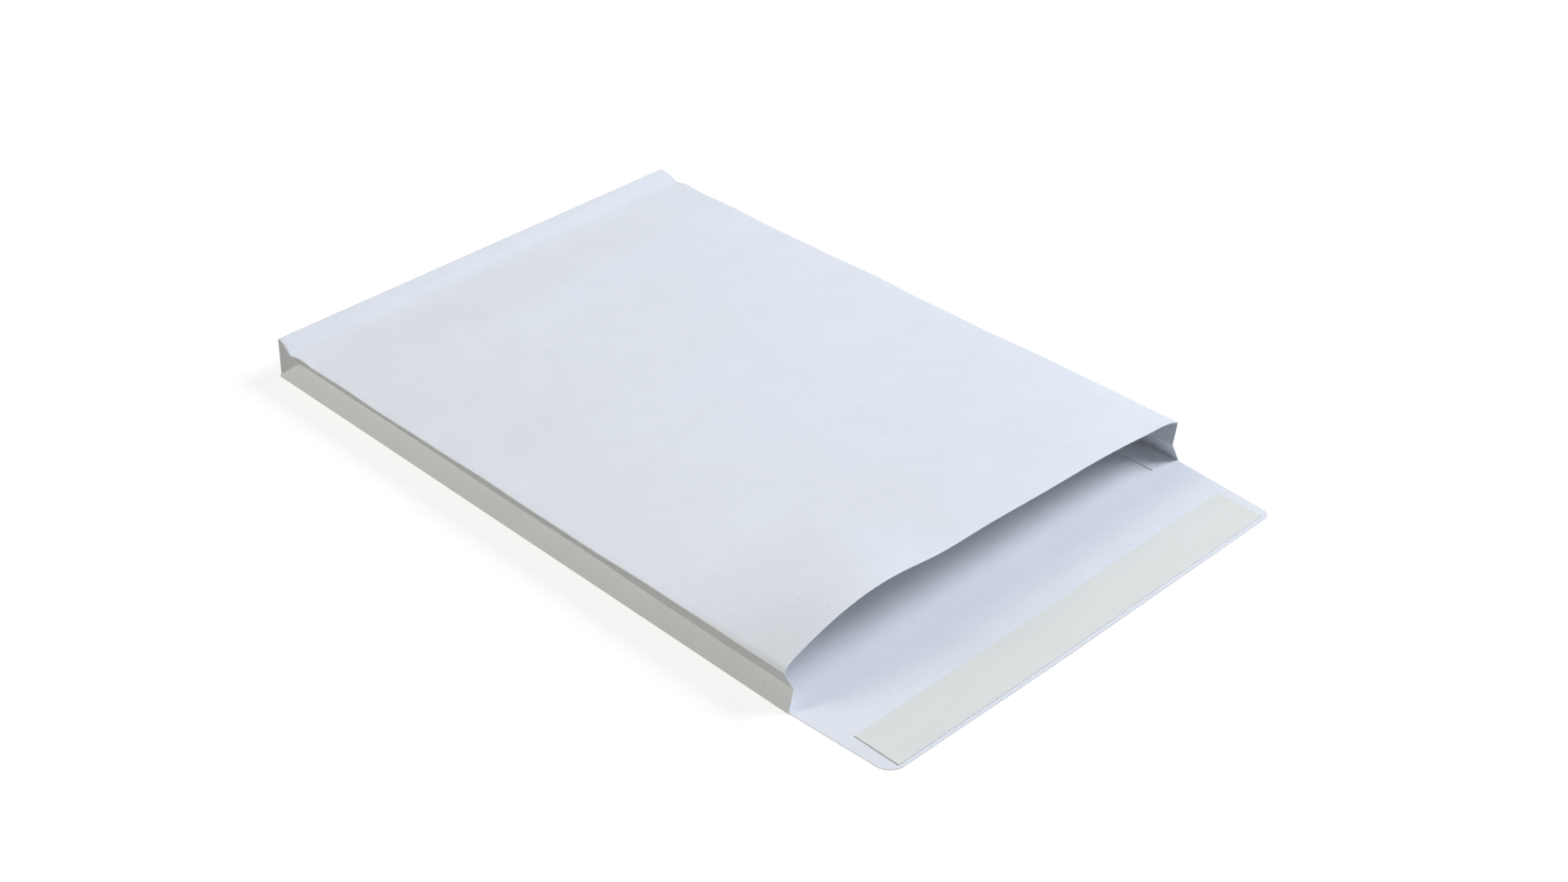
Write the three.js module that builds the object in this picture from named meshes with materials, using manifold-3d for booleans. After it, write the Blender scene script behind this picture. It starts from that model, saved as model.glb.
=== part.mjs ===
// A gusseted paper envelope lying on its face, opened out, with its closing flap flat in front of the mouth.
// Millimetres, +Z up. The mouth and the flap face -Y, the closed end faces +Y.
// The origin is under the middle of the whole, on the plane that the envelope rests on.

import * as THREE from "three";
import { mergeVertices } from "three/addons/utils/BufferGeometryUtils.js";
import Module from "manifold-3d";

const wasm = await Module();
wasm.setup();

// Sheet
const sheetThickness = 0.3;
const panelWidth = 229;
const pocketLength = 324;

// Side gussets: the flat width of the strip between the panels, and how far in its middle fold lies
const gussetWidth = 20;
const foldDepthAtMouth = 3.8;
const foldDepthAtMiddle = 4.9;
const foldDepthAtCrease = 5.5;

// Closed end: the soft crease across the upper panel, and how the end wall leans and narrows to its top
const creaseToEnd = 9.5;
const endLean = 1.8;
const endLeanReach = 60;
const endNarrowing = 1.5;

// The two flaps folded over the end wall: their height, and the step in from the wall's corners
const endFlapHeight = 13;
const endFlapStep = 1;

// Upper panel: how it bows up between the gussets, and its lifted, set-back mouth edge
const panelBow = 3.6;
const bowPower = 2.2;
const bowEndFade = 50;
const liftHeight = 8.8;
const liftSpan = 125;
const liftSkew = 0.73;
const liftReach = 75;
const mouthSetback = 2.2;
const mouthNotch = 3.8;
const setbackReach = 60;

// Glue lap inside, along the right-hand fold
const lapWidth = 12;
const lapFromFold = 2;
const lapFromMouth = 3;
const lapFromEnd = 12;

// Closing flap
const flapLength = 50.2;
const flapStep = 0.3;
const flapSideTaper = 0.06;
const flapCornerRadius = 6;

// Self-adhesive band on the flap, and the strip that covers it
const adhesiveWidth = 17;
const adhesiveLength = 208;
const adhesiveThickness = 0.2;
const linerWidth = 22.5;
const linerLength = 212;
const linerThickness = 0.12;
const linerFromFlapEdge = 1.6;

// Fineness of the folded sheet
const pointsAcross = 24;
const stationsAlong = 22;
const flapCornerSteps = 8;

const halfWidth = panelWidth / 2;
const creaseAt = pocketLength - creaseToEnd;
const mouthY = (flapLength - pocketLength - sheetThickness) / 2;
const flapEdgeY = mouthY - flapLength;
const endY = mouthY + pocketLength;
const rightFoldIndex = 2;

function smooth(value) {
  const share = THREE.MathUtils.clamp(value, 0, 1);
  return share * share * (3 - 2 * share);
}

// How far in the middle fold of a gusset lies, at a distance along the pocket
function foldDepth(along) {
  if (along >= creaseAt) {
    return foldDepthAtCrease * Math.max(0, pocketLength - along) / creaseToEnd;
  }
  const middle = creaseAt / 2;
  if (along < middle) {
    return THREE.MathUtils.lerp(foldDepthAtMouth, foldDepthAtMiddle, smooth(along / middle));
  }
  return THREE.MathUtils.lerp(foldDepthAtMiddle, foldDepthAtCrease, smooth(along / middle - 1));
}

// Each half of a gusset keeps its length, so the height follows from how deep the fold lies
function sideHeight(along) {
  const depth = foldDepth(along);
  return 2 * Math.sqrt((gussetWidth / 2) ** 2 - depth ** 2);
}

// The raised part of the mouth edge: nothing at the left corner, highest left of the middle, gone at its span
function liftShape(across) {
  const share = THREE.MathUtils.clamp((across + halfWidth) / liftSpan, 0, 1);
  return Math.max(0, Math.sin(Math.PI * share ** liftSkew)) ** 1.5;
}

function panelRise(across, along) {
  const bow = panelBow * (1 - (Math.abs(across) / halfWidth) ** bowPower);
  const lift = liftHeight * liftShape(across) * smooth(1 - along / liftReach);
  return bow * smooth((creaseAt - along) / bowEndFade) + lift;
}

// One cross-section of the outside, counter-clockwise seen from the mouth. Each point is
// [x, z, share of the way up the side]
function outerSection(along) {
  const height = sideHeight(along);
  const pastCrease = THREE.MathUtils.clamp((along - creaseAt) / creaseToEnd, 0, 1);
  const topHalf = halfWidth - endNarrowing * pastCrease;
  const foldHalf = (halfWidth + topHalf) / 2 - foldDepth(along);
  const points = [[-halfWidth, 0, 0], [halfWidth, 0, 0], [foldHalf, height / 2, 0.5]];
  for (let i = 0; i <= pointsAcross; i += 1) {
    const across = topHalf * Math.cos(Math.PI * i / pointsAcross);
    const onFold = i === 0 || i === pointsAcross;
    points.push([across, height + (onFold ? 0 : panelRise(across, along)), 1]);
  }
  points.push([-foldHalf, height / 2, 0.5]);
  return points;
}

// The same section one sheet thickness further in, with mitred corners
function innerSection(along) {
  const points = outerSection(along);
  return points.map(([x, z, up], i) => {
    const before = points[(i + points.length - 1) % points.length];
    const after = points[(i + 1) % points.length];
    const arriving = new THREE.Vector2(x - before[0], z - before[1]).normalize();
    const leaving = new THREE.Vector2(after[0] - x, after[1] - z).normalize();
    const inward = new THREE.Vector2(-arriving.y - leaving.y, arriving.x + leaving.x).normalize();
    const mitre = sheetThickness / (inward.y * arriving.x - inward.x * arriving.y);
    return [x + inward.x * mitre, z + inward.y * mitre, up];
  });
}

// A section set in its place: the mouth edge is set back, and the end wall leans toward the mouth
function placed(section, along) {
  const nearMouth = Math.max(0, 1 - along / setbackReach);
  const nearEnd = smooth(1 - (pocketLength - along) / endLeanReach);
  return section.map(([x, z, up]) => {
    const notch = up === 1 ? mouthNotch * liftShape(x) : 0;
    const setback = (mouthSetback * up + notch) * nearMouth;
    return [x, mouthY + along + setback - endLean * up * nearEnd, z];
  });
}

// Distances along the pocket, closer together at the mouth and at the crease, then the end
function stations(end) {
  const list = [];
  for (let j = 0; j <= stationsAlong; j += 1) {
    list.push(creaseAt * (1 - Math.cos(Math.PI * j / stationsAlong)) / 2);
  }
  list.push(end);
  return list;
}

// The triangles between two neighbouring rings. Those beside a gusset fold meet on the fold's own point
function skinTriangles(rings, first, facesOut) {
  const perRing = rings[0].length;
  const triangles = [];
  for (let j = 0; j < rings.length - 1; j += 1) {
    for (let i = 0; i < perRing; i += 1) {
      const next = (i + 1) % perRing;
      const a = first + j * perRing + i;
      const b = first + j * perRing + next;
      const c = b + perRing;
      const d = a + perRing;
      const onNext = next === rightFoldIndex || next === perRing - 1;
      const pair = onNext ? [[a, d, b], [d, c, b]] : [[a, d, c], [a, c, b]];
      pair.forEach(([p, q, r]) => triangles.push(...(facesOut ? [p, q, r] : [p, r, q])));
    }
  }
  return triangles;
}

// The triangles that close a ring, round a point in its middle
function capTriangles(first, perRing, middle, facesOut) {
  const triangles = [];
  for (let i = 0; i < perRing; i += 1) {
    const a = first + i;
    const b = first + (i + 1) % perRing;
    triangles.push(...(facesOut ? [middle, b, a] : [middle, a, b]));
  }
  return triangles;
}

// The open pocket: an outer and an inner skin, joined by a rim at the mouth, each closed at the far end
function pocketGeometry() {
  const innerEnd = pocketLength - sheetThickness;
  const outer = stations(pocketLength).map((along) => placed(outerSection(along), along));
  const inner = stations(innerEnd).map((along) => placed(innerSection(along), along));
  const perRing = outer[0].length;
  const innerStart = outer.length * perRing;
  const middleOf = (along) => [0, mouthY + along - endLean / 2, sideHeight(along) / 2];
  const positions = [...outer, ...inner].flat();
  const middle = positions.length;
  positions.push(middleOf(pocketLength), middleOf(innerEnd));
  const triangles = [
    ...skinTriangles(outer, 0, true),
    ...skinTriangles(inner, innerStart, false),
    ...capTriangles(innerStart - perRing, perRing, middle, true),
    ...capTriangles(middle - perRing, perRing, middle + 1, false),
  ];
  for (let i = 0; i < perRing; i += 1) {
    const next = (i + 1) % perRing;
    triangles.push(i, next, innerStart + next, i, innerStart + next, innerStart + i);
  }
  const geometry = new THREE.BufferGeometry();
  geometry.setAttribute("position", new THREE.Float32BufferAttribute(positions.flat(), 3));
  geometry.setIndex(triangles);
  return geometry;
}

// A plate from its outline in plan, lying from one height up to another
function plate(outline, bottom, top) {
  const geometry = new THREE.ExtrudeGeometry(outline, { depth: top - bottom, bevelEnabled: false });
  return geometry.translate(0, 0, bottom);
}

function rectangle(left, right, near, far) {
  const corners = [[left, near], [right, near], [right, far], [left, far]];
  return new THREE.Shape(corners.map(([x, y]) => new THREE.Vector2(x, y)));
}

// The closing flap: tapered sides from a small step at the mouth fold, and two round corners
function flapGeometry() {
  const rootHalf = halfWidth - flapStep;
  const slope = Math.atan(flapSideTaper);
  const turn = Math.PI / 2 - slope;
  const cornerX = rootHalf - flapSideTaper * flapLength - flapCornerRadius * Math.tan(turn / 2);
  const cornerY = flapEdgeY + flapCornerRadius;
  const shape = new THREE.Shape();
  shape.moveTo(rootHalf, mouthY + sheetThickness);
  shape.lineTo(-rootHalf, mouthY + sheetThickness);
  shape.lineTo(-rootHalf, mouthY);
  [[-cornerX, Math.PI * 1.5 - turn], [cornerX, Math.PI * 1.5]].forEach(([centreX, from]) => {
    for (let i = 0; i <= flapCornerSteps; i += 1) {
      const angle = from + turn * i / flapCornerSteps;
      const x = centreX + flapCornerRadius * Math.cos(angle);
      shape.lineTo(x, cornerY + flapCornerRadius * Math.sin(angle));
    }
  });
  shape.lineTo(rootHalf, mouthY);
  return plate(shape, 0, sheetThickness);
}

function lapGeometry() {
  const right = halfWidth - lapFromFold;
  const outline = rectangle(right - lapWidth, right, mouthY + lapFromMouth, endY - lapFromEnd);
  return plate(outline, sheetThickness / 2, sheetThickness * 2);
}

// A flap folded over the end wall, with its ends cut at 45 degrees, so many sheets proud of the wall
function endFlapGeometry(foldHalf, foldHeight, edgeHeight, sheets) {
  const edgeHalf = foldHalf - Math.abs(edgeHeight - foldHeight);
  const shape = new THREE.Shape();
  shape.moveTo(-foldHalf, foldHeight);
  shape.lineTo(foldHalf, foldHeight);
  shape.lineTo(edgeHalf, edgeHeight);
  shape.lineTo(-edgeHalf, edgeHeight);
  const depth = sheetThickness * (sheets + 0.5);
  const geometry = new THREE.ExtrudeGeometry(shape, { depth, bevelEnabled: false });
  geometry.rotateX(Math.PI / 2);
  geometry.translate(0, endY + sheetThickness * sheets, 0);
  const lean = new THREE.Matrix4().set(1, 0, 0, 0, 0, 1, -endLean / gussetWidth, 0, 0, 0, 1, 0, 0, 0, 0, 1);
  return geometry.applyMatrix4(lean);
}

function toSolid(geometry) {
  const bare = geometry.clone();
  bare.deleteAttribute("normal");
  bare.deleteAttribute("uv");
  const merged = mergeVertices(bare);
  const vertProperties = new Float32Array(merged.attributes.position.array);
  const triVerts = new Uint32Array(merged.index.array);
  return new wasm.Manifold(new wasm.Mesh({ numProp: 3, vertProperties, triVerts }));
}

function toGeometry(solid) {
  const mesh = solid.getMesh();
  const geometry = new THREE.BufferGeometry();
  geometry.setAttribute("position", new THREE.BufferAttribute(mesh.vertProperties, 3));
  geometry.setIndex(new THREE.BufferAttribute(mesh.triVerts, 1));
  geometry.computeVertexNormals();
  return geometry;
}

function named(name, geometry, colour, roughness) {
  const material = new THREE.MeshStandardMaterial({ color: colour, roughness, metalness: 0 });
  const mesh = new THREE.Mesh(geometry, material);
  mesh.name = name;
  return mesh;
}

// One folded sheet: pocket, closing flap, glue lap and the two end flaps
function envelopeSheet() {
  const half = halfWidth - endFlapStep;
  const upperEdge = gussetWidth - endFlapHeight;
  const pieces = [
    flapGeometry(),
    lapGeometry(),
    endFlapGeometry(half, 0, endFlapHeight, 1),
    endFlapGeometry(half - endNarrowing, gussetWidth, upperEdge, 2),
  ];
  const solid = pieces.reduce((whole, piece) => whole.add(toSolid(piece)), toSolid(pocketGeometry()));
  return named("envelope_sheet", toGeometry(solid), 0xe4e9f0, 0.75);
}

const linerNear = flapEdgeY + linerFromFlapEdge;
const bandMiddle = linerNear + linerWidth / 2;
const adhesiveTop = sheetThickness + adhesiveThickness;

function adhesiveStrip() {
  const near = bandMiddle - adhesiveWidth / 2;
  const outline = rectangle(-adhesiveLength / 2, adhesiveLength / 2, near, near + adhesiveWidth);
  return named("adhesive_strip", plate(outline, sheetThickness, adhesiveTop), 0xe9e2c4, 0.25);
}

function releaseLiner() {
  const outline = rectangle(-linerLength / 2, linerLength / 2, linerNear, linerNear + linerWidth);
  return named("release_liner", plate(outline, adhesiveTop, adhesiveTop + linerThickness), 0xdce4e0, 0.35);
}

const envelope = new THREE.Group();
envelope.add(envelopeSheet(), adhesiveStrip(), releaseLiner());

export default envelope;
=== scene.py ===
import math
import bpy
import numpy as np
from mathutils import Matrix, Vector


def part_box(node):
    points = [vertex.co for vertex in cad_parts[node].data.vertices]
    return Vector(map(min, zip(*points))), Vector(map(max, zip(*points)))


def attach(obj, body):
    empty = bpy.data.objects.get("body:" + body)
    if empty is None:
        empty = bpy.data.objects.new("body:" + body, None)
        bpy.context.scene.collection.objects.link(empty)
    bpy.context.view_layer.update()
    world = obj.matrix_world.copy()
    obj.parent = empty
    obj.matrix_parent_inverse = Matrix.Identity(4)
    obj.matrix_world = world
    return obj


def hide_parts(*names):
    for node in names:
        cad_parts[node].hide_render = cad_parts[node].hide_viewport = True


# A white gusseted envelope, opened out on a pale table, its closing flap lying flat in front of its mouth.
# Metres throughout, in the frame's own axes: the mouth faces -Y, the closed end +Y, and the table is z = 0.

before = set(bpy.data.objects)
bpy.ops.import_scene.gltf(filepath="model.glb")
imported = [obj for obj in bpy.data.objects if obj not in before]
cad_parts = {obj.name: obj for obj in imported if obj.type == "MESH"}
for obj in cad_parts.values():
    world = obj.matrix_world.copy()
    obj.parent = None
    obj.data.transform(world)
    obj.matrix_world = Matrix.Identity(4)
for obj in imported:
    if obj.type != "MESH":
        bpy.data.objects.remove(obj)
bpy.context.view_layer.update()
sheetLow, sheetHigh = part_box("envelope_sheet")
print("stage: frame loaded")

# Camera

camera = {
    "turn": 43.907,         # degrees, from looking along +Y toward +X
    "tilt": 34.129,         # degrees, downward
    "roll": -0.726,         # degrees
    "aim": (0.0081, -0.00924, 0.0),
    "distance": 0.988,
    "lens": 53.32,          # millimetres, as the sensor's width is
    "sensorWidth": 36,
    "clip": (0.05, 40),
}


def addCamera(settings):
    turn, tilt, roll = (math.radians(settings[name]) for name in ("turn", "tilt", "roll"))
    ahead = Vector((math.sin(turn) * math.cos(tilt), math.cos(turn) * math.cos(tilt), -math.sin(tilt)))
    level = Vector((math.cos(turn), -math.sin(turn), 0))
    right = level * math.cos(roll) + level.cross(ahead) * math.sin(roll)
    up = right.cross(ahead)
    data = bpy.data.cameras.new("camera")
    data.lens = settings["lens"]
    data.sensor_width = settings["sensorWidth"]
    data.clip_start, data.clip_end = settings["clip"]
    holder = bpy.data.objects.new("camera", data)
    bpy.context.scene.collection.objects.link(holder)
    place = Matrix((right, up, -ahead)).transposed().to_4x4()
    place.translation = Vector(settings["aim"]) - ahead * settings["distance"]
    holder.matrix_world = place
    bpy.context.scene.camera = holder


addCamera(camera)
print("stage: camera set")

# Shader maths


class Value:
    # A node's output in a tree, or the bare tree. Each operation on an output adds a Math node
    def __init__(self, tree, socket=None):
        self.tree = tree
        self.socket = socket

    # Any node of the tree: its settings first, then a number, colour or link for each socket
    def node(self, kind, settings=None, sockets=None, output=0):
        made = self.tree.nodes.new(kind)
        for name, setting in (settings or {}).items():
            setattr(made, name, setting)
        for name, value in (sockets or {}).items():
            if isinstance(value, Value):
                self.tree.links.new(value.socket, made.inputs[name])
            else:
                made.inputs[name].default_value = value
        return Value(self.tree, made.outputs[output])

    def math(self, operation, first, second):
        return self.node("ShaderNodeMath", {"operation": operation}, {0: first, 1: second})

    def __add__(self, other):
        return self.math("ADD", self, other)

    def __sub__(self, other):
        return self.math("SUBTRACT", self, other)

    def __rsub__(self, other):
        return self.math("SUBTRACT", other, self)

    def __mul__(self, other):
        return self.math("MULTIPLY", self, other)

    __radd__ = __add__
    __rmul__ = __mul__

    # 0 below low, 1 above high, eased at both ends
    def step(self, low, high):
        sockets = {"Value": self, "From Min": low, "From Max": high}
        return self.node("ShaderNodeMapRange", {"interpolation_type": "SMOOTHSTEP"}, sockets)

    # The first colour where this value is 0, the second where it is 1. 6 and 7 are the two colours' sockets
    def between(self, first, second):
        return self.node("ShaderNodeMix", {"data_type": "RGBA"}, {"Factor": self, 6: first, 7: second}, 2)

    def feed(self, shader, name):
        self.tree.links.new(self.socket, shader.inputs[name])


def newMaterial(name):
    material = bpy.data.materials.new(name)
    material.use_nodes = True
    tree = material.node_tree
    place = Value(tree).node("ShaderNodeTexCoord", output="Object")
    return material, tree.nodes["Principled BSDF"], place


def noiseOf(place, scale, detail, roughness=0.5):
    sockets = {"Vector": place, "Scale": scale, "Detail": detail, "Roughness": roughness}
    return place.node("ShaderNodeTexNoise", None, sockets)


def stretched(place, scale):
    return place.node("ShaderNodeMapping", None, {"Vector": place, "Scale": scale})


def bumpOf(height, strength, depth):
    return height.node("ShaderNodeBump", None, {"Height": height, "Strength": strength, "Distance": depth})


def rgba(colour, factor=1.0):
    return tuple(channel * factor for channel in colour) + (1.0,)


# Mesh work


def smoothStep(value):
    # 3 s^2 - 2 s^3 with s held between 0 and 1
    share = np.clip(value, 0, 1)
    return share * share * (3 - 2 * share)


def bell(distance, width):
    # e to the power of -(distance / width)^2
    return np.exp(-((distance / width) ** 2))


def gridFaces(index, flip=False):
    # One quad for each cell of a grid of vertex numbers
    corners = [index[:-1, :-1], index[:-1, 1:], index[1:, 1:], index[1:, :-1]]
    if flip:
        corners.reverse()
    return np.stack([corner.ravel() for corner in corners], axis=1)


def sheetObject(name, points, faces, thickness, sharpAngle, highlightMarks=None):
    # Gives a folded surface its thickness on the inner side and keeps its folds and cut edges crisp
    mesh = bpy.data.meshes.new(name)
    mesh.from_pydata(points.tolist(), [], faces.tolist())
    # Stores the painted highlight along folds, cut edges and ridges as a point attribute that the paper's
    # material reads
    if highlightMarks is not None:
        mesh.attributes.new("foldLine", "FLOAT", "POINT").data.foreach_set("value", highlightMarks.astype(np.float32))
    holder = bpy.data.objects.new(name, mesh)
    bpy.context.scene.collection.objects.link(holder)
    wall = holder.modifiers.new("wall", "SOLIDIFY")
    wall.thickness = thickness
    wall.offset = -1
    wall.use_quality_normals = True
    graph = bpy.context.evaluated_depsgraph_get()
    solid = bpy.data.meshes.new_from_object(holder.evaluated_get(graph))
    holder.modifiers.clear()
    coordinates = np.empty(3 * len(solid.vertices), dtype=np.float32)
    solid.vertices.foreach_get("co", coordinates)
    coordinates[2::3] = np.maximum(coordinates[2::3], 0)      # nothing reaches under the table
    solid.vertices.foreach_set("co", coordinates)
    holder.data = solid
    solid.name = name
    solid.polygons.foreach_set("use_smooth", np.ones(len(solid.polygons), dtype=bool))
    solid.set_sharp_from_angle(angle=math.radians(sharpAngle))
    solid.update()
    return holder


# The folded sheet: pocket, end wall, closing flap, end flaps and the glue lap inside

sheet = {
    "thickness": 0.00028,
    "layerGap": 0.00002,                        # air between two glued layers
    "sharpAngle": 40,                           # degrees, past which a fold shows as a line

    "gusset": 0.020,                            # flat width of the strip between the two panels
    "foldDepth": (0.0038, 0.0049, 0.0055),      # how far in its middle fold lies: mouth, middle, crease
    "foldWander": 0.00022,                      # how far that fold strays from a straight line
    "wanderWaves": ((1, 57, 1), (0.5, 134, 0)), # strength, radians to the metre, start
    "wanderFade": 0.03,                         # how far from mouth and crease that fold is straight
    "foldLeg": 0.0007,                          # length taken from each side to round a fold
    "foldPoints": 9,
    "betweenFolds": (5, 3, 5),                  # points on the lower half, corner triangle and upper half
    "legShares": (0.45, 0.35),                  # the most that rounding takes of a half and of the triangle
    "triangleOpening": (0.02, 0.95),            # how far its edges stand apart, as a share of the height
    "triangleDepth": 0.0002,                    # how far in the triangle lies at the end
    "sideReach": 0.01,                          # how far a side's profile looks along each panel
    "sideRise": 10,                             # how strongly it turns up with the panel's rise there

    "creaseToEnd": 0.0095,
    "creaseSoftness": 0.0007,                   # how gently the middle fold turns there
    "pinch": 0.0009,                            # how far the panel's edge dips at the crease
    "pinchWidth": 0.0035,
    "swell": (0.6, 0.009, 0.005),               # just before it: share of the pinch, distance, width
    "pinchReach": 0.009,

    "endLean": 0.0018,                          # how far the end wall leans toward the mouth
    "endLeanReach": 0.060,
    "endNarrowing": 0.0015,                     # how much each side of its top edge is drawn in
    "ridgeRadius": 0.0004,                      # of the end wall's top and bottom folds
    "ridgePoints": 6,

    "bow": 0.0036,                              # height of the upper panel's crown
    "bowPower": 2.2,
    "bowEndFade": 0.050,
    # Height, radians to the metre across and along, start
    "panelWaves": ((0.00020, 41, 17, 0.6), (0.00016, -23, 37, 2.1), (0.00007, 67, -29, 4.0)),
    "wavesFade": 0.02,

    "lift": 0.0088,                             # how far the mouth's upper edge is raised
    "liftSpan": 0.168,                          # from the left-hand fold to where it is level again
    "liftSkew": 0.617,
    "liftPower": 1.83,
    "liftReach": 0.075,                         # along the pocket
    # The edge's dip and hump: middle, width and height of each
    "mouthBells": ((-0.030, 0.0236, -0.0027), (0.060, 0.050, 0.00245)),
    "bellsFade": 0.010,
    "bellsReach": 0.050,

    "mouthSetback": 0.0022,                     # how far the upper edge lies behind the lower one
    "mouthNotch": 0.0008,                       # and further back where it is raised
    "throat": 0.0012,                           # and further back between the folds
    "throatShoulder": 0.004,
    "setbackReach": 0.060,

    "columns": 84,                              # faces across each panel
    "stationStep": 0.0035,                      # length of the faces along it
    "mouthStations": (0, 0.0005, 0.0013, 0.003),
    "creaseStations": (-0.0018, -0.0010, -0.0005, -0.0002, 0.0001, 0.0004, 0.0009, 0.0018),
    "endStations": (0.0064, 0.0050, 0.0036, 0.0022, 0.0010),

    "flapLength": 0.0502,
    "flapShortening": 0.0017,                   # how much less the flap reaches at its left-hand corner
    "flapTapers": (0.044, 0.076),               # left and right
    "flapCorners": (0.0075, 0.0045),
    "flapWave": (0.00022, 31, 1.2),             # height, radians to the metre, start
    "flapFlat": (0.010, 0.045),                 # flat as far as the first, in full wave from the second on
    "flapStations": (0.0004, 0.001, 0.002, 0.004),
    "flapRows": (14, 18),                       # along its straight sides and round its corners

    "endFlapHeight": 0.013,
    "endFlapCut": 0.001,                        # how much shorter than the fold each flap is at its ends
    "endFlapProud": 0.0003,                     # how far the flaps stand out of the end wall
    "endFlapSpring": 0.00018,                   # how far its free edge stands off
    "springFrom": 0.6,
    "overlap": (0.0055, 0.0067),                # where the upper flap steps onto the lower one
    "endFlapGrid": (16, 61),                    # rows and columns of points

    "lapWidth": 0.012,
    "lapFromFold": 0.002,
    "lapFromEnds": (0.003, 0.012),              # from the mouth and from the end wall
    "lapGrid": (60, 7),                         # rows and columns of points

    # Strengths of the painted highlight: on a cut edge or ridge, then on the closing flap's hinge
    "edgeHighlight": 1.0,                            # how much of a fold's colour a cut edge or ridge gets
    "hingeHighlight": 0.4,                           # and the line on which the closing flap folds
}

halfWidth = (sheetHigh[0] - sheetLow[0]) / 2
mouthY = sheetLow[1] + sheet["flapLength"]
pocketLength = sheetHigh[1] - sheet["endFlapProud"] - mouthY
creaseAt = pocketLength - sheet["creaseToEnd"]
layer = sheet["thickness"] + sheet["layerGap"]


def fromFold(across):
    # Distance from the nearer side fold
    return halfWidth - np.abs(across)


def pastCrease(along):
    # 0 as far as the crease, then evenly to 1 at the end
    return np.clip((along - creaseAt) / sheet["creaseToEnd"], 0, 1)


def foldDepth(along):
    # Eased from mouth to middle to crease, then straight down to nothing at the end. The lesser of the two
    # holds, joined softly at the crease: mean less half the root of difference squared plus softness squared
    atMouth, atMiddle, atCrease = sheet["foldDepth"]
    middle = creaseAt / 2
    rising = atMouth + (atMiddle - atMouth) * smoothStep(along / middle)
    rising = rising + (atCrease - atMiddle) * smoothStep(along / middle - 1)
    wander = sum(strength * np.sin(rate * along + start) for strength, rate, start in sheet["wanderWaves"])
    inside = smoothStep(along / sheet["wanderFade"]) * smoothStep((creaseAt - along) / sheet["wanderFade"])
    rising = rising + sheet["foldWander"] * wander * inside
    falling = atCrease * (pocketLength - along) / sheet["creaseToEnd"]
    gap = np.sqrt((rising - falling) ** 2 + sheet["creaseSoftness"] ** 2)
    return np.maximum(0, (rising + falling - gap) / 2)


def sideHeight(along):
    # Each half of a gusset keeps its length: height = 2 sqrt((gusset / 2)^2 - depth^2)
    return 2 * np.sqrt((sheet["gusset"] / 2) ** 2 - foldDepth(along) ** 2)


def creasePinch(across, along):
    # Where the corner folds, the panel's edge dips in a bell curve at the crease and swells in another just
    # before it, both dying away exponentially from the fold
    share, before, width = sheet["swell"]
    dip = -sheet["pinch"] * bell(along - creaseAt, sheet["pinchWidth"])
    swell = share * sheet["pinch"] * bell(along - creaseAt + before, width)
    return (dip + swell) * np.exp(-fromFold(across) / sheet["pinchReach"])


def liftShape(across):
    # A half sine wave skewed toward the left-hand corner and raised to a power
    share = np.clip((across + halfWidth) / sheet["liftSpan"], 0, 1)
    return np.maximum(0, np.sin(math.pi * share ** sheet["liftSkew"])) ** sheet["liftPower"]


def mouthRipple(across, along):
    # A dip and a wide low hump, each a bell curve, none of them at the folds
    ripple = sum(height * bell(across - middle, width) for middle, width, height in sheet["mouthBells"])
    return ripple * smoothStep(fromFold(across) / sheet["bellsFade"]) * bell(along, sheet["bellsReach"])


def panelWaves(across, along):
    # Three long crossing sine waves, none of them at the folds or the crease
    fade = sheet["wavesFade"]
    waves = sum(
        height * np.sin(acrossRate * across + alongRate * along + start)
        for height, acrossRate, alongRate, start in sheet["panelWaves"]
    )
    return smoothStep(fromFold(across) / fade) * smoothStep((creaseAt - along) / fade) * waves


def panelRise(across, along):
    # Crowned by bow times 1 - |x / half width|^power, with what belongs to the mouth dying away from it
    bow = sheet["bow"] * (1 - (np.abs(across) / halfWidth) ** sheet["bowPower"])
    lift = sheet["lift"] * liftShape(across) * smoothStep(1 - along / sheet["liftReach"])
    rise = bow * smoothStep((creaseAt - along) / sheet["bowEndFade"]) + lift
    return rise + mouthRipple(across, along) + panelWaves(across, along) + creasePinch(across, along)


def placed(across, along, up, height, onTop=0):
    # The mouth edge is set back, and the end wall leans toward the mouth, both by their share of the height
    shoulder = smoothStep(fromFold(across) / sheet["throatShoulder"])
    notch = onTop * (sheet["mouthNotch"] * liftShape(across) + sheet["throat"] * shoulder)
    setback = (sheet["mouthSetback"] * up + notch) * np.maximum(0, 1 - along / sheet["setbackReach"])
    lean = sheet["endLean"] * up * smoothStep(1 - (pocketLength - along) / sheet["endLeanReach"])
    return np.stack(np.broadcast_arrays(across, mouthY + along + setback - lean, height), axis=-1)


def spacing(count):
    # Even inner shares of a stretch, with one more point close to each of its ends
    even = np.linspace(0, 1, count + 2)[1:-1]
    near = 0.2 * even[0]
    return np.concatenate([[near], even, [1 - near]])


def roundedPath(corners, legs, between):
    # A path over corners, each rounded by a quadratic curve from one leg to the next, with more points on
    # the straight stretches between them
    pieces = []
    share = np.linspace(0, 1, sheet["foldPoints"])[:, None]
    for number in range(1, len(corners) - 1):
        before, corner, after = corners[number - 1:number + 2]
        back = (before - corner) / np.linalg.norm(before - corner, axis=-1, keepdims=True)
        ahead = (after - corner) / np.linalg.norm(after - corner, axis=-1, keepdims=True)
        leg = legs[number - 1][:, None, None]
        curve = corner[:, None] + leg * ((1 - share) ** 2 * back[:, None] + share ** 2 * ahead[:, None])
        if pieces:
            start, end = pieces[-1][:, -1:], curve[:, :1]
            pieces.append(start + (end - start) * spacing(between[number - 2])[:, None])
        pieces.append(curve)
    return np.concatenate(pieces, axis=1)


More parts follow.
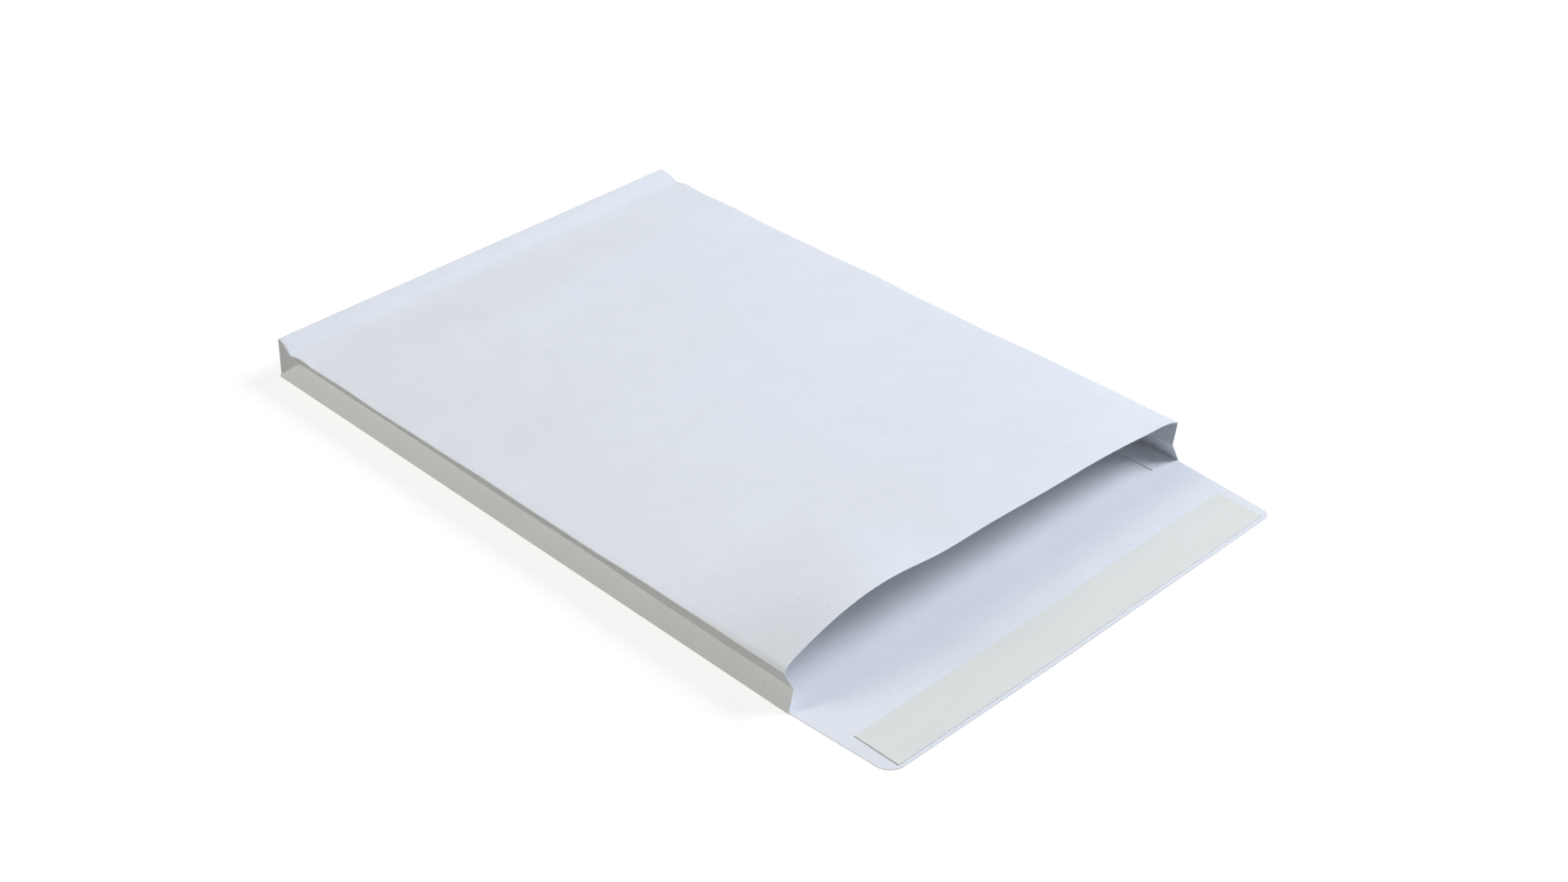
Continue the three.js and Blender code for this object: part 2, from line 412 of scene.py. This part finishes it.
def sideProfile(along, topHalf):
    # Right side in x and z: bottom fold, the two edges of the middle fold, top fold. Past the crease the
    # middle fold opens into the flat corner triangle, whose edges run out to the bottom and top folds
    height = sideHeight(along)
    past = pastCrease(along)
    opening = np.clip(past, *sheet["triangleOpening"])
    middleX = (halfWidth + topHalf) / 2 - np.maximum(foldDepth(along), sheet["triangleDepth"] * past)
    bottom = np.stack([np.full_like(along, halfWidth), np.zeros_like(along)], axis=-1)
    low = np.stack([middleX, height / 2 * (1 - opening)], axis=-1)
    high = np.stack([middleX, height / 2 * (1 + opening)], axis=-1)
    top = np.stack([topHalf, height + creasePinch(topHalf, along)], axis=-1)
    halfShare, triangleShare = sheet["legShares"]
    leg = np.minimum(sheet["foldLeg"], halfShare * np.linalg.norm(low - bottom, axis=-1))
    small = np.minimum(triangleShare * np.linalg.norm(high - low, axis=-1), leg)
    rise = panelRise(topHalf - sheet["foldLeg"], along) * sheet["sideRise"]
    start = bottom - np.array([sheet["sideReach"], 0])
    inner = np.stack([topHalf - sheet["sideReach"], height + rise], axis=-1)
    corners = [start, bottom, low, high, top, inner]
    return roundedPath(corners, [leg, small, small, leg], sheet["betweenFolds"])


def stationList():
    # Distances along the pocket, finer at the mouth, round the crease and before the end
    *mouth, margin = sheet["mouthStations"]
    body = np.linspace(margin, creaseAt - margin, int(pocketLength / sheet["stationStep"]))
    crease = creaseAt + np.array(sheet["creaseStations"])
    return np.concatenate([mouth, body, crease, pocketLength - np.array(sheet["endStations"])])


def pocketPoints():
    # Rings of lower panel left to right, right gusset upward, upper panel right to left, left gusset down.
    # The last rings turn into the end wall on a quarter circle
    turn = np.linspace(0, math.pi / 2, sheet["ridgePoints"])
    radius = sheet["ridgeRadius"]
    along = np.concatenate([stationList(), pocketLength - radius + radius * np.sin(turn)])
    inset = np.concatenate([np.zeros(len(along) - len(turn)), radius * (1 - np.cos(turn))])
    topHalf = halfWidth - sheet["endNarrowing"] * pastCrease(along)
    side = sideProfile(along, topHalf)
    column = along[:, None]
    height = sideHeight(column)
    up = np.clip(side[..., 1] / height, 0, 1)
    share = 2 * np.linspace(0, 1, sheet["columns"] + 1)[1:-1] - 1
    lowX = share * side[:, :1, 0]
    topX = share * side[:, -1:, 0]
    leftX = -side[:, -1:, 0]
    lower = placed(lowX, column, 0, 0 * lowX)
    upper = placed(topX, column, 1, height + panelRise(topX, column), 1)
    right = placed(side[..., 0], column, up, side[..., 1])
    left = right * np.array([-1, 1, 1])
    left[:, -1] = placed(leftX, column, 1, height + panelRise(leftX, column), 1)[:, 0]
    rings = np.concatenate([lower, right, upper[:, ::-1], left[:, ::-1]], axis=1)
    shrink = 1 - inset[:, None, None] / np.array([halfWidth, 1, sheet["gusset"] / 2])
    centre = np.array([0, 0, sheet["gusset"] / 2])
    shrink[..., 1] = 1
    return (rings - centre) * shrink + centre, side.shape[1]


def flapRest(across, out):
    # How far the open flap stands off the table: one slow wave across it, growing from the fold to its edge
    height, rate, start = sheet["flapWave"]
    flat, full = sheet["flapFlat"]
    return height * (1 + np.sin(rate * across + start)) * smoothStep((out - flat) / (full - flat))


def flapShare(across):
    # The flap's reach as a share of its full length, eased from its left-hand corner to its middle
    short = sheet["flapShortening"] * (1 - smoothStep((across + halfWidth) / halfWidth))
    return 1 - short / sheet["flapLength"]


def flapSide(out, startHalf, length, taper, corner):
    # Half width at a distance from the fold: a straight tapered side, then a circle tangent to the side and
    # to the front edge
    slope = math.pi / 2 - math.atan(taper)
    centre = startHalf - taper * length - corner * math.tan(slope / 2)
    reach = np.clip((out - length + corner) / corner, 0, 1)
    rounded = centre + corner * np.sqrt(1 - reach ** 2)
    side = startHalf - taper * out
    return np.minimum(side, np.where(reach > 0, rounded, side))


def flapPoints(columns, startHalf):
    # The closing flap row by row, its rows closer together at the fold and in the corners
    length = sheet["flapLength"]
    (leftTaper, rightTaper), (leftCorner, rightCorner) = sheet["flapTapers"], sheet["flapCorners"]
    corner = max(leftCorner, rightCorner)
    *first, begin = sheet["flapStations"]
    straightRows, cornerRows = sheet["flapRows"]
    turn = np.linspace(0, math.pi / 2, cornerRows)[1:]
    straight = np.linspace(begin, length - corner, straightRows)
    out = np.concatenate([first, straight, length - corner + corner * np.sin(turn)])
    left = flapSide(out, startHalf, length, leftTaper, leftCorner)[:, None]
    right = flapSide(out, startHalf, length, rightTaper, rightCorner)[:, None]
    across = (left + right) * np.linspace(0, 1, columns) - left
    along = out[:, None] * flapShare(across)
    return np.stack(np.broadcast_arrays(across, mouthY - along, flapRest(across, along)), axis=-1)


def endFlapPoints(foldHalf, upward, layers):
    # A flap that turns round the ridge on a circle and runs up or down the end wall, its ends cut at 45
    # degrees, standing proud by the sheets that lie under it, with its free edge a little sprung
    radius, reach = sheet["ridgeRadius"], sheet["endFlapHeight"]
    rows, columns = sheet["endFlapGrid"]
    first, last = math.pi / 6, math.pi / 2
    turn = np.linspace(first, last, sheet["ridgePoints"])[:, None]
    proud = layer * smoothStep((turn - first) / (last - first)) - sheet["layerGap"]
    arcY = (radius + proud) * np.sin(turn) - radius
    arcZ = radius - (radius + proud) * np.cos(turn)
    run = np.linspace(radius, reach, rows)[1:, None]
    free = np.clip((run / reach - sheet["springFrom"]) / (1 - sheet["springFrom"]), 0, 1)
    wallY = layer * layers(run) + sheet["endFlapSpring"] * free ** 2
    away = np.concatenate([arcZ, run])
    outward = np.concatenate([arcY, wallY])
    across = np.linspace(-1, 1, columns)[None, :] * (foldHalf - np.maximum(0, away - radius))
    height = away if upward else sheet["gusset"] - away
    wall = mouthY + pocketLength - sheet["endLean"] * np.clip(height / sheet["gusset"], 0, 1)
    return np.stack(np.broadcast_arrays(across, wall + outward, height), axis=-1)


def oneLayer(run):
    return 1


def overLowerFlap(run):
    # One layer, eased to two where the upper flap steps onto the lower one
    low, high = sheet["overlap"]
    return 1 + smoothStep((run - low) / (high - low))


def lapPoints():
    # The glue lap: a flat strip on the lower panel's inner face, along the right-hand fold
    rows, columns = sheet["lapGrid"]
    fromMouth, fromEnd = sheet["lapFromEnds"]
    edge = halfWidth - sheet["lapFromFold"]
    across = np.linspace(edge - sheet["lapWidth"], edge, columns)[None, :]
    along = np.linspace(mouthY + fromMouth, mouthY + pocketLength - fromEnd, rows)[:, None]
    return np.stack(np.broadcast_arrays(across, along, layer + sheet["thickness"]), axis=-1)


def envelopeMesh():
    # Ring grid, flap grid, end wall grid and the loose layers, sharing vertices where the sheet runs on
    pocket, tall = pocketPoints()
    rings, around = pocket.shape[:2]
    wide = sheet["columns"] - 1
    ringIndex = np.arange(rings * around).reshape(rings, around)
    rightIndex = ringIndex[:, wide:wide + tall]
    topIndex = ringIndex[:, wide + tall:2 * wide + tall][:, ::-1]
    leftIndex = ringIndex[:, 2 * wide + tall:][:, ::-1]
    closed = np.concatenate([ringIndex, ringIndex[:, :1]], axis=1)
    blocks = [pocket.reshape(-1, 3)]
    faces = [gridFaces(closed, flip=True)]
    used = rings * around

    bottomRow = np.concatenate([leftIndex[0, :1], ringIndex[0, :wide], rightIndex[0, :1]])
    flap = flapPoints(wide + 2, blocks[0][rightIndex[0, 0], 0])
    flapIndex = used + np.arange(flap.shape[0] * (wide + 2)).reshape(-1, wide + 2)
    blocks.append(flap.reshape(-1, 3))
    faces.append(gridFaces(np.concatenate([bottomRow[None], flapIndex])))
    used += flap.shape[0] * (wide + 2)

    # The end wall's border is the last ring, so only its inside is new
    low, high = pocket[-1, :wide], blocks[0][topIndex[-1]]
    share = blocks[0][rightIndex[-1], 2]
    share = ((share - share[0]) / (share[-1] - share[0]))[1:-1, None, None]
    inside = low + (high - low) * share
    wallIndex = np.empty((tall, wide + 2), dtype=int)
    wallIndex[:, 0] = leftIndex[-1]
    wallIndex[:, -1] = rightIndex[-1]
    wallIndex[0, 1:-1] = ringIndex[-1, :wide]
    wallIndex[-1, 1:-1] = topIndex[-1]
    wallIndex[1:-1, 1:-1] = used + np.arange((tall - 2) * wide).reshape(tall - 2, wide)
    blocks.append(inside.reshape(-1, 3))
    faces.append(gridFaces(wallIndex, flip=True))
    used += (tall - 2) * wide

    lowerHalf = halfWidth - sheet["endFlapCut"]
    lower = endFlapPoints(lowerHalf, True, oneLayer)
    upper = endFlapPoints(lowerHalf - sheet["endNarrowing"], False, overLowerFlap)
    for extra, flip in ((lower, True), (upper, False), (lapPoints(), False)):
        rows, columns = extra.shape[:2]
        index = used + np.arange(rows * columns).reshape(rows, columns)
        blocks.append(extra.reshape(-1, 3))
        faces.append(gridFaces(index, flip))
        used += rows * columns

    # Folded lines and the cut edge at the mouth get a painted highlight in the paper's material: 4 s (1 - s)
    # over a fold
    highlightMarks = np.zeros(used)
    count = sheet["foldPoints"]
    share = np.linspace(0, 1, count)
    arc = 4 * share * (1 - share)
    highlightMarks[rightIndex[:, :count]] = highlightMarks[leftIndex[:, :count]] = arc
    highlightMarks[rightIndex[:, -count:]] = highlightMarks[leftIndex[:, -count:]] = arc
    highlightMarks[ringIndex[0]] = sheet["edgeHighlight"]
    highlightMarks[ringIndex[0, :wide]] = sheet["hingeHighlight"]
    highlightMarks[ringIndex[1 - sheet["ridgePoints"]:-1]] = sheet["edgeHighlight"]
    return np.concatenate(blocks), np.concatenate(faces), highlightMarks


points, faces, highlightMarks = envelopeMesh()
envelope = sheetObject("folded_envelope", points, faces, sheet["thickness"], sheet["sharpAngle"], highlightMarks)
print("stage: envelope sheet", len(envelope.data.polygons), "faces")

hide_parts("envelope_sheet")
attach(envelope, "root")

# The adhesive band and its peel-off strip, lying on the flap

strip = {
    "adhesiveThickness": 0.00012,
    "linerThickness": 0.00008,
    "linerSpring": 0.00012,      # how far the peel-off strip's two ends stand up
    "springReach": 0.006,
    "rows": 12,
    "columns": 120,
}


def stripPoints(node, lift, spring):
    # The node's own rectangle, laid along the flap's edge and on its rest height, each end rising as the
    # square of its last stretch
    low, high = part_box(node)
    across = np.linspace(low[0], high[0], strip["columns"] + 1)[None, :]
    out = mouthY - np.linspace(low[1], high[1], strip["rows"] + 1)[:, None]
    along = mouthY - out * flapShare(across)
    reach = strip["springReach"]
    ends = np.clip((np.abs(across) - (high[0] - reach)) / reach, 0, 1) ** 2
    height = flapRest(across, mouthY - along) + lift + spring * ends
    return np.stack(np.broadcast_arrays(across, along, height), axis=-1)


def stripObject(name, node, lift, thickness, spring):
    grid = stripPoints(node, lift + thickness, spring)
    index = np.arange(grid.shape[0] * grid.shape[1]).reshape(grid.shape[:2])
    made = sheetObject(name, grid.reshape(-1, 3), gridFaces(index), thickness, sheet["sharpAngle"])
    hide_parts(node)
    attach(made, "root")
    return made


bandThickness, linerThickness = strip["adhesiveThickness"], strip["linerThickness"]
onBand = layer + bandThickness + sheet["layerGap"]
adhesive = stripObject("adhesive_band", "adhesive_strip", layer, bandThickness, 0)
liner = stripObject(
    "peel_off_strip", "release_liner", onBand, linerThickness, strip["linerSpring"]
)
print("stage: adhesive and peel-off strip")

# Paper: cloudy where its pulp is thicker, with a few darker specks, and a painted highlight along folds and
# cut edges

paper = {
    "colour": (0.81, 0.825, 0.85),
    "shade": 0.972,
    # Painted highlight colour along folds, cut edges and ridges, and how strongly it shows
    "fold": (0.90, 0.905, 0.91),
    "foldStrength": 0.8,
    "clouds": (55, 4, 0.55),     # a noise's scale, detail and roughness
    "flocks": (420, 3, 0.6),
    "cloudShare": 0.6,
    "cloudRange": (0.35, 0.65),
    "specks": (620, 0),
    "speckRange": (0.80, 0.86),
    "speckStrength": 0.3,
    "speckColour": (0.56, 0.58, 0.60),
    "fibres": (1500, 5, 0.65),
    "fibreShare": 0.7,
    "relief": (0.12, 0.00008),   # strength and depth
    "roughness": 0.80,
    "specular": 0.22,
}


def paperMaterial(settings):
    material, shader, place = newMaterial("envelope_paper")
    flocks = noiseOf(place, *settings["flocks"])
    cloudShare, fibreShare = settings["cloudShare"], settings["fibreShare"]
    formation = noiseOf(place, *settings["clouds"]) * cloudShare + flocks * (1 - cloudShare)
    specks = noiseOf(place, *settings["specks"]).step(*settings["speckRange"])
    pulp = formation.step(*settings["cloudRange"]) * (1 - specks)
    colour = pulp.between(rgba(settings["colour"], settings["shade"]), rgba(settings["colour"]))
    colour = (specks * settings["speckStrength"]).between(colour, rgba(settings["speckColour"]))
    # Painted highlight: a paler colour where the point attribute marks folds, cut edges and ridges
    folds = place.node("ShaderNodeAttribute", {"attribute_name": "foldLine"}, output="Fac")
    colour = (folds * settings["foldStrength"]).between(colour, rgba(settings["fold"]))
    colour.feed(shader, "Base Color")
    grain = noiseOf(place, *settings["fibres"]) * fibreShare + flocks * (1 - fibreShare)
    bumpOf(grain, *settings["relief"]).feed(shader, "Normal")
    shader.inputs["Roughness"].default_value = settings["roughness"]
    shader.inputs["Specular IOR Level"].default_value = settings["specular"]
    return material


# Peel-off strip: thin siliconised paper, faintly green, with a satin face streaked along its length

linerPaper = {
    "colour": (0.757, 0.776, 0.725),
    "shade": 0.975,
    "streaks": (60, 4, 0.6),
    "streakStretch": (0.25, 1, 1),
    "streakRange": (0.35, 0.65),
    "grain": (900, 3),
    "grainStretch": (0.4, 1, 1),
    "relief": (0.06, 0.00005),
    "roughness": 0.36,
}


def linerMaterial(settings):
    material, shader, place = newMaterial("liner_paper")
    streaks = noiseOf(stretched(place, settings["streakStretch"]), *settings["streaks"])
    share = streaks.step(*settings["streakRange"])
    colour = share.between(rgba(settings["colour"], settings["shade"]), rgba(settings["colour"]))
    colour.feed(shader, "Base Color")
    grain = noiseOf(stretched(place, settings["grainStretch"]), *settings["grain"])
    bumpOf(grain, *settings["relief"]).feed(shader, "Normal")
    shader.inputs["Roughness"].default_value = settings["roughness"]
    return material


# Adhesive: a thin glossy cream film with long runs

adhesiveFilm = {
    "colour": (0.78, 0.72, 0.55),
    "shade": 0.93,
    "runs": (140, 3),
    "runStretch": (0.15, 1, 1),
    "runRange": (0.3, 0.7),
    "relief": (0.15, 0.0001),
    "roughness": 0.22,
}


def adhesiveMaterial(settings):
    material, shader, place = newMaterial("adhesive")
    runs = noiseOf(stretched(place, settings["runStretch"]), *settings["runs"])
    share = runs.step(*settings["runRange"])
    colour = share.between(rgba(settings["colour"], settings["shade"]), rgba(settings["colour"]))
    colour.feed(shader, "Base Color")
    bumpOf(runs, *settings["relief"]).feed(shader, "Normal")
    shader.inputs["Roughness"].default_value = settings["roughness"]
    return material


for piece, finish in (
    (envelope, paperMaterial(paper)),
    (adhesive, adhesiveMaterial(adhesiveFilm)),
    (liner, linerMaterial(linerPaper)),
):
    piece.data.materials.clear()
    piece.data.materials.append(finish)
print("stage: materials")

# Floor and light

studio = {
    "floor": (0.34, 0.33, 0.305),
    "floorRoughness": 0.9,
    "floorReach": 8,
    "floorLevel": -0.00004,
    "glow": (0.75, 0.75, 0.755),    # what the floor adds for the camera near the envelope
    "white": (1, 1, 1),
    "whiteFrom": (0.6, 1.8),        # distances from the middle between which that glow grows to white
    "world": (0.198, 0.220, 0.242),
}

lamps = {
    "key": {"place": (1.85, -1.054, 1.80), "size": 1.5, "power": 76.4, "colour": (0.842, 0.883, 1.0)},
    "fill": {"place": (-3.0, 1.771, 2.2), "size": 1.8, "power": 68.05, "colour": (1.0, 0.941, 0.791)},
}


def seenRays(tree):
    # 1 for rays from the camera, off gloss or through glass, 0 for the light that falls on the envelope
    seen, gloss, glass = (
        Value(tree).node("ShaderNodeLightPath", output=name)
        for name in ("Is Camera Ray", "Is Glossy Ray", "Is Transmission Ray")
    )
    return seen.math("MAXIMUM", seen.math("MAXIMUM", seen, gloss), glass)


def addFloor(settings):
    mesh = bpy.data.meshes.new("floor")
    reach, level = settings["floorReach"], settings["floorLevel"]
    sides = ((-reach, -reach), (reach, -reach), (reach, reach), (-reach, reach))
    mesh.from_pydata([(x, y, level) for x, y in sides], [], [(0, 1, 2, 3)])
    floor = bpy.data.objects.new("floor", mesh)
    bpy.context.scene.collection.objects.link(floor)
    material, shader, place = newMaterial("floor")
    shader.inputs["Base Color"].default_value = rgba(settings["floor"])
    shader.inputs["Roughness"].default_value = settings["floorRoughness"]
    shader.inputs["Specular IOR Level"].default_value = 0.0
    shader.inputs["Emission Strength"].default_value = 1
    distance = place.node("ShaderNodeVectorMath", {"operation": "LENGTH"}, {0: place}, "Value")
    glow = distance.step(*settings["whiteFrom"]).between(rgba(settings["glow"]), rgba(settings["white"]))
    seenRays(place.tree).between(rgba((0, 0, 0)), glow).feed(shader, "Emission Color")
    mesh.materials.append(material)


def addWorld(settings):
    world = bpy.data.worlds.new("studio")
    world.use_nodes = True
    bpy.context.scene.world = world
    background = world.node_tree.nodes["Background"]
    colour = seenRays(world.node_tree).between(rgba(settings["world"]), rgba(settings["white"]))
    colour.feed(background, "Color")
    background.inputs["Strength"].default_value = 1


def addLamp(name, settings):
    lamp = bpy.data.lights.new(name, "AREA")
    lamp.size = settings["size"]
    lamp.energy = settings["power"]
    lamp.color = settings["colour"]
    holder = bpy.data.objects.new(name, lamp)
    bpy.context.scene.collection.objects.link(holder)
    holder.location = settings["place"]
    holder.rotation_euler = (-Vector(settings["place"])).to_track_quat("-Z", "Y").to_euler()


addFloor(studio)
addWorld(studio)
for name, settings in lamps.items():
    addLamp(name, settings)
bpy.context.scene.view_settings.view_transform = "Standard"
print("stage: floor and light set")
